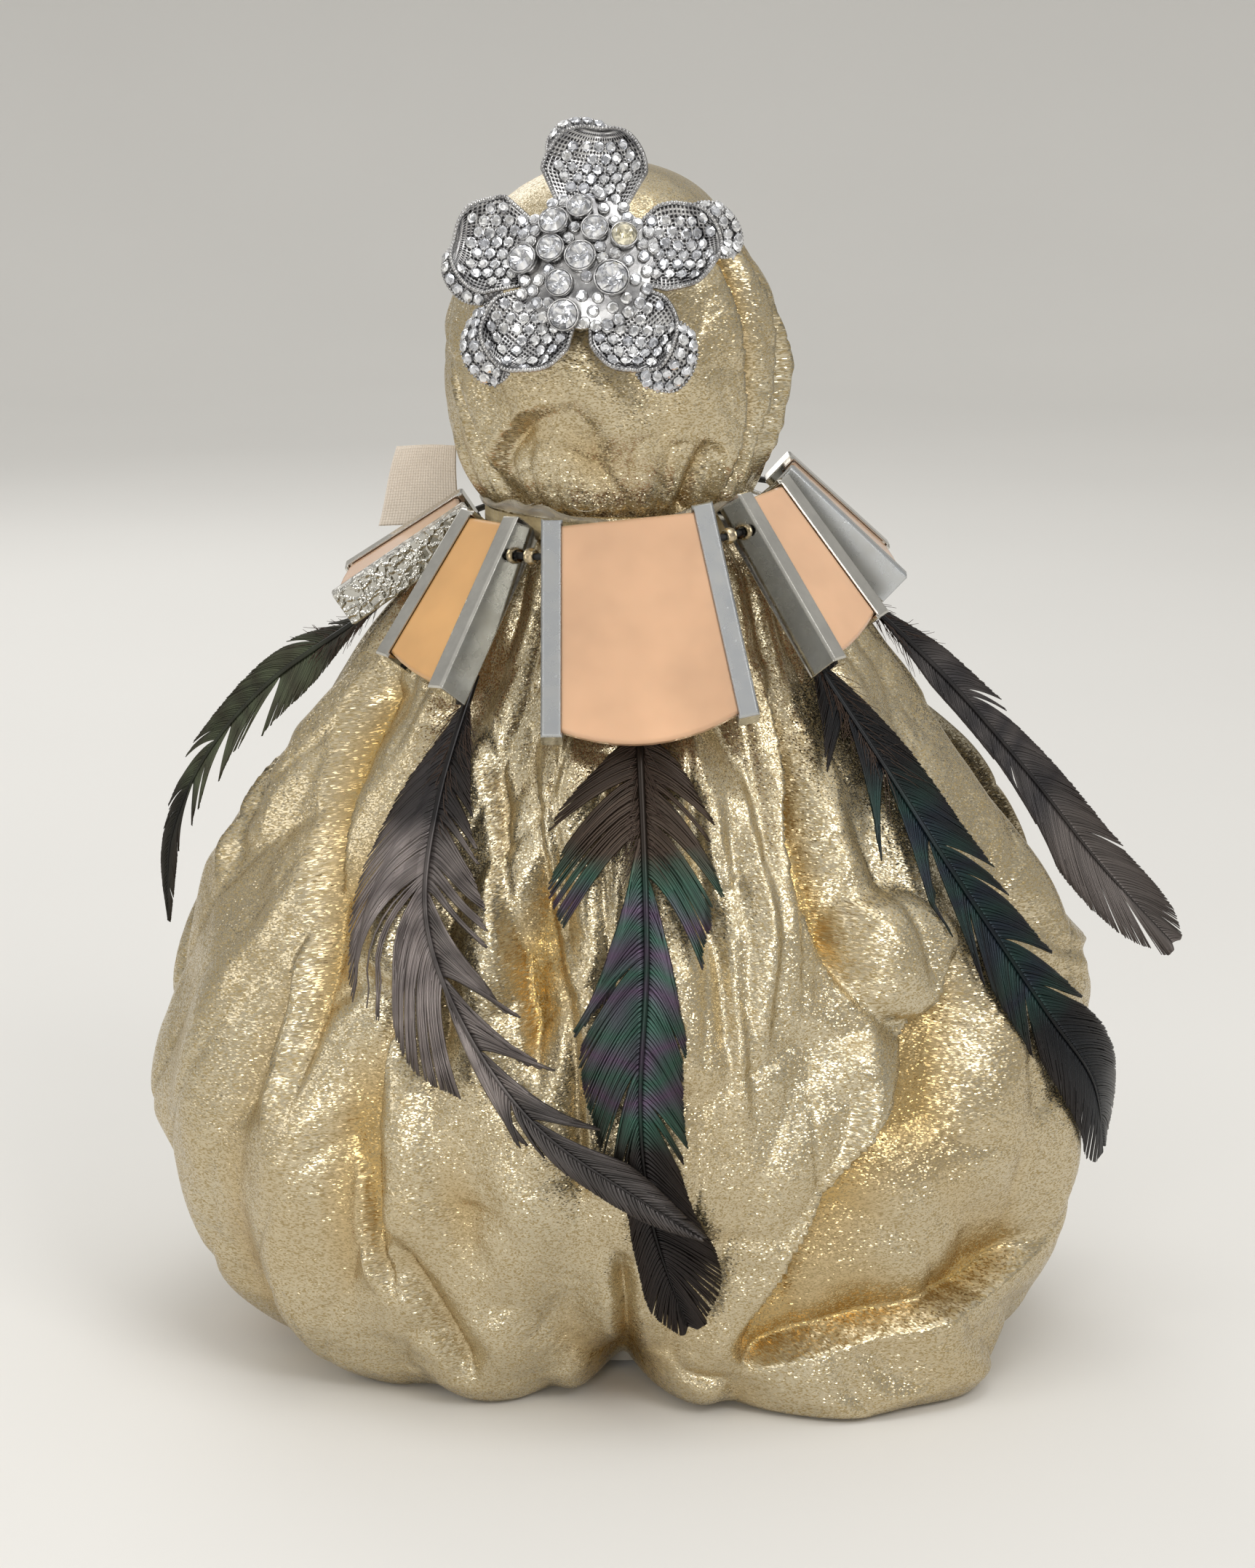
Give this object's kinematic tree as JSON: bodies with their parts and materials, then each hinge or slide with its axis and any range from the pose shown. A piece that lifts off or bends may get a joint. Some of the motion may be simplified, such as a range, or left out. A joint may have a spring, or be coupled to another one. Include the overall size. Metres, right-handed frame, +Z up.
{
  "type": "art doll",
  "caption": "Standing art doll with a stuffed bubble gown and hooded head in metallic cloth, a strung collar of inlaid pendants, a flower brooch and tail feathers.",
  "frame": {"origin": "on the floor at the gown's own axis, in the plane of its flat underside", "axes": "+Z up along the dowel, -Y the way the doll faces, +X to the viewer's right"},
  "size_m": [0.2555, 0.1732, 0.2949],
  "materials": {
    "lame_cloth": "crinkled metallic weave",
    "fibre_fill": "loose fibre",
    "foam": "expanded foam",
    "dowel_wood": "sanded",
    "board": "matt",
    "elastic": "ribbed",
    "hot_glue": "clear and lumpy",
    "peach_resin": "polished",
    "rail_metal": "polished",
    "bead_metal": "polished",
    "cord": "braided",
    "feather": "iridescent barbs",
    "crystal": "cut and polished",
    "brooch_metal": "antiqued silver plate",
    "tag_cloth": "plain weave"
  },
  "bodies": {
    "doll": {"bead_1": "bead_metal", "bead_2": "bead_metal", "bead_3": "bead_metal", "bead_4": "bead_metal", "collar_cord": "cord", "cord_knot": "cord", "gown": "lame_cloth", "base_board": "board", "dowel": "dowel_wood", "stuffing": "fibre_fill", "head_hood": "lame_cloth", "head_core": "foam", "neck_band": "elastic", "glue_bead": "hot_glue", "centre_feather": "feather", "brooch_plate": "brooch_metal", "pin_hinge": "brooch_metal", "pin_catch": "brooch_metal", "pin_stem": "brooch_metal", "petal_top": "brooch_metal", "petal_left": "brooch_metal", "petal_lower_left": "brooch_metal", "petal_lower_right": "brooch_metal", "petal_right": "brooch_metal", "cluster_dome": "brooch_metal", "stone_1": "crystal", "stone_2": "crystal", "stone_3": "crystal", "stone_4": "crystal", "stone_5": "crystal", "stone_6": "crystal", "stone_7": "crystal", "stone_8": "crystal", "stone_9": "crystal", "stone_10": "crystal"},
    "centre_pendant": {"centre_tile": "peach_resin", "centre_left_rail": "rail_metal", "centre_right_rail": "rail_metal"},
    "left_pendant": {"left_tile": "peach_resin", "left_outer_rail": "rail_metal", "left_inner_rail": "rail_metal"},
    "right_pendant": {"right_tile": "peach_resin", "right_inner_rail": "rail_metal", "right_outer_rail": "rail_metal"},
    "left_end_pendant": {"left_end_tile": "peach_resin", "left_end_outer_rail": "rail_metal", "left_end_inner_rail": "rail_metal"},
    "right_end_pendant": {"right_end_tile": "peach_resin", "right_end_inner_rail": "rail_metal", "right_end_outer_rail": "rail_metal"},
    "far_left_feather": {"far_left_feather": "feather"},
    "left_feather": {"left_feather": "feather"},
    "right_feather": {"right_feather": "feather"},
    "far_right_feather": {"far_right_feather": "feather"},
    "cloth_tag": {"cloth_tag": "tag_cloth"}
  },
  "joints": [
    {"name": "centre_pendant_lift", "type": "hinge", "parent": "doll", "child": "centre_pendant", "pos_m": [0.00165, -0.03783, 0.19935], "axis": [-0.9944, -0.0351, -0.0992], "range_deg": [0, 15]},
    {"name": "left_pendant_lift", "type": "hinge", "parent": "doll", "child": "left_pendant", "pos_m": [-0.03089, -0.02718, 0.19714], "axis": [-0.6608, 0.7506, 0.0018], "range_deg": [0, 15]},
    {"name": "right_pendant_lift", "type": "hinge", "parent": "doll", "child": "right_pendant", "pos_m": [0.03317, -0.02492, 0.20353], "axis": [-0.5934, -0.7949, -0.1269], "range_deg": [0, 15]},
    {"name": "left_end_pendant_lift", "type": "hinge", "parent": "doll", "child": "left_end_pendant", "pos_m": [-0.04115, -0.00332, 0.19823], "axis": [-0.0882, 0.993, 0.0784], "range_deg": [0, 6]},
    {"name": "right_end_pendant_lift", "type": "hinge", "parent": "doll", "child": "right_end_pendant", "pos_m": [0.04131, -0.00041, 0.20646], "axis": [-0.0014, -0.9962, -0.0873], "range_deg": [0, 15]},
    {"name": "far_left_feather_lift", "type": "hinge", "parent": "doll", "child": "far_left_feather", "pos_m": [-0.05402, 0.00094, 0.18461], "axis": [0.0174, 0.9998, 0], "range_deg": [0, 8]},
    {"name": "left_feather_lift", "type": "hinge", "parent": "doll", "child": "left_feather", "pos_m": [-0.03383, -0.03503, 0.16943], "axis": [-0.7193, 0.6947, 0], "range_deg": [0, 8]},
    {"name": "right_feather_lift", "type": "hinge", "parent": "doll", "child": "right_feather", "pos_m": [0.04182, -0.02613, 0.17519], "axis": [-0.5299, -0.8481, 0], "range_deg": [0, 8]},
    {"name": "far_right_feather_lift", "type": "hinge", "parent": "doll", "child": "far_right_feather", "pos_m": [0.04849, 0.00424, 0.18941], "axis": [0.0871, -0.9962, 0], "range_deg": [0, 8]},
    {"name": "cloth_tag_flap", "type": "hinge", "parent": "doll", "child": "cloth_tag", "pos_m": [-0.04017, 0.0143, 0.207], "axis": [0, 0, 1], "range_deg": [-25, 5]}
  ]
}
